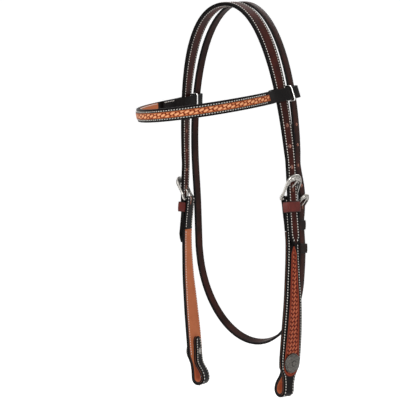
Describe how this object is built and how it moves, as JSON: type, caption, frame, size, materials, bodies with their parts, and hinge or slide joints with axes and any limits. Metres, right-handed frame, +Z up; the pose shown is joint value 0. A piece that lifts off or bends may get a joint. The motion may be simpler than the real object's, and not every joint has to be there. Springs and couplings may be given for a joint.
{
  "type": "western headstall",
  "caption": "Western browband headstall with a throatlatch, tooled cheek pieces, engraved buckles, conchos and bit loops.",
  "frame": {"origin": "underside of the crown piece at the poll, in the middle of its width", "axes": "+Z up, -Y towards the horse's nose, +X towards the horse's near side"},
  "size_m": [0.2002, 0.2125, 0.5151],
  "materials": {
    "dark_leather": "oiled",
    "black_leather": "oiled",
    "rough_leather": "rough side out",
    "tooled_leather": "stamped and waxed",
    "keeper_leather": "glossy",
    "antiqued_silver": "engraved and antiqued"
  },
  "bodies": {
    "head_straps": {"crown_strap": "dark_leather", "crown_lining": "dark_leather", "throatlatch_strap": "dark_leather", "throat_fixed_keeper": "dark_leather"},
    "browband": {"browband_strap": "black_leather", "browband_overlay": "tooled_leather", "browband_lining": "rough_leather", "near_browband_ring": "antiqued_silver", "off_browband_ring": "antiqued_silver"},
    "throat_buckle": {"throat_buckle_frame": "antiqued_silver"},
    "throat_tongue": {"throat_buckle_tongue": "antiqued_silver"},
    "throat_slider": {"throat_sliding_keeper": "dark_leather"},
    "near_cheek": {"near_cheek_strap": "black_leather", "near_cheek_lining": "rough_leather", "near_cheek_overlay": "tooled_leather", "near_cheek_keeper": "keeper_leather", "near_concho": "antiqued_silver"},
    "near_cheek_buckle": {"near_cheek_buckle_frame": "antiqued_silver"},
    "near_cheek_tongue": {"near_cheek_buckle_tongue": "antiqued_silver"},
    "near_screw": {"near_concho_screw": "antiqued_silver"},
    "off_cheek": {"off_cheek_strap": "black_leather", "off_cheek_lining": "rough_leather", "off_cheek_overlay": "tooled_leather", "off_cheek_keeper": "keeper_leather", "off_concho": "antiqued_silver"},
    "off_cheek_buckle": {"off_cheek_buckle_frame": "antiqued_silver"},
    "off_cheek_tongue": {"off_cheek_buckle_tongue": "antiqued_silver"},
    "off_screw": {"off_concho_screw": "antiqued_silver"}
  },
  "joints": [
    {"name": "browband_lift", "type": "hinge", "parent": "head_straps", "child": "browband", "pos_m": [0, 0.0213, -0.1179], "axis": [-1, 0, 0], "range_deg": [0, 8]},
    {"name": "near_cheek_swing", "type": "hinge", "parent": "head_straps", "child": "near_cheek", "pos_m": [0.08308, 0.02276, -0.2511], "axis": [0.1822, 0.9833, 0], "range_deg": [0, 2.5]},
    {"name": "near_cheek_buckle_tip", "type": "hinge", "parent": "head_straps", "child": "near_cheek_buckle", "pos_m": [0.08308, 0.02276, -0.2511], "axis": [-0.1822, -0.9833, 0], "range_deg": [0, 3]},
    {"name": "near_cheek_tongue_lift", "type": "hinge", "parent": "head_straps", "child": "near_cheek_tongue", "pos_m": [0.08308, 0.02276, -0.2511], "axis": [0.1822, 0.9833, 0], "range_deg": [0, 5]},
    {"name": "near_screw_turn", "type": "hinge", "parent": "near_cheek", "child": "near_screw", "pos_m": [0.07024, 0.03266, -0.45888], "axis": [0.9802, -0.1817, -0.0794], "continuous": true},
    {"name": "off_cheek_swing", "type": "hinge", "parent": "head_straps", "child": "off_cheek", "pos_m": [-0.08308, 0.02276, -0.2511], "axis": [0.1822, -0.9833, 0], "range_deg": [0, 2.5]},
    {"name": "off_cheek_buckle_tip", "type": "hinge", "parent": "head_straps", "child": "off_cheek_buckle", "pos_m": [-0.08308, 0.02276, -0.2511], "axis": [-0.1822, 0.9833, 0], "range_deg": [0, 3]},
    {"name": "off_cheek_tongue_lift", "type": "hinge", "parent": "head_straps", "child": "off_cheek_tongue", "pos_m": [-0.08308, 0.02276, -0.2511], "axis": [0.1822, -0.9833, 0], "range_deg": [0, 5]},
    {"name": "off_screw_turn", "type": "hinge", "parent": "off_cheek", "child": "off_screw", "pos_m": [-0.07024, 0.03266, -0.45888], "axis": [-0.9802, -0.1817, -0.0794], "continuous": true},
    {"name": "throat_buckle_tip", "type": "hinge", "parent": "head_straps", "child": "throat_buckle", "pos_m": [0.0805, 0.0468, -0.2676], "axis": [0, -1, 0], "range_deg": [0, 1.8]},
    {"name": "throat_tongue_lift", "type": "hinge", "parent": "head_straps", "child": "throat_tongue", "pos_m": [0.0805, 0.0468, -0.2676], "axis": [0, 1, 0], "range_deg": [0, 6]},
    {"name": "throat_slider_slide", "type": "slide", "parent": "head_straps", "child": "throat_slider", "axis": [0, 0, 1], "range_m": [-0.002, 0.008]}
  ]
}
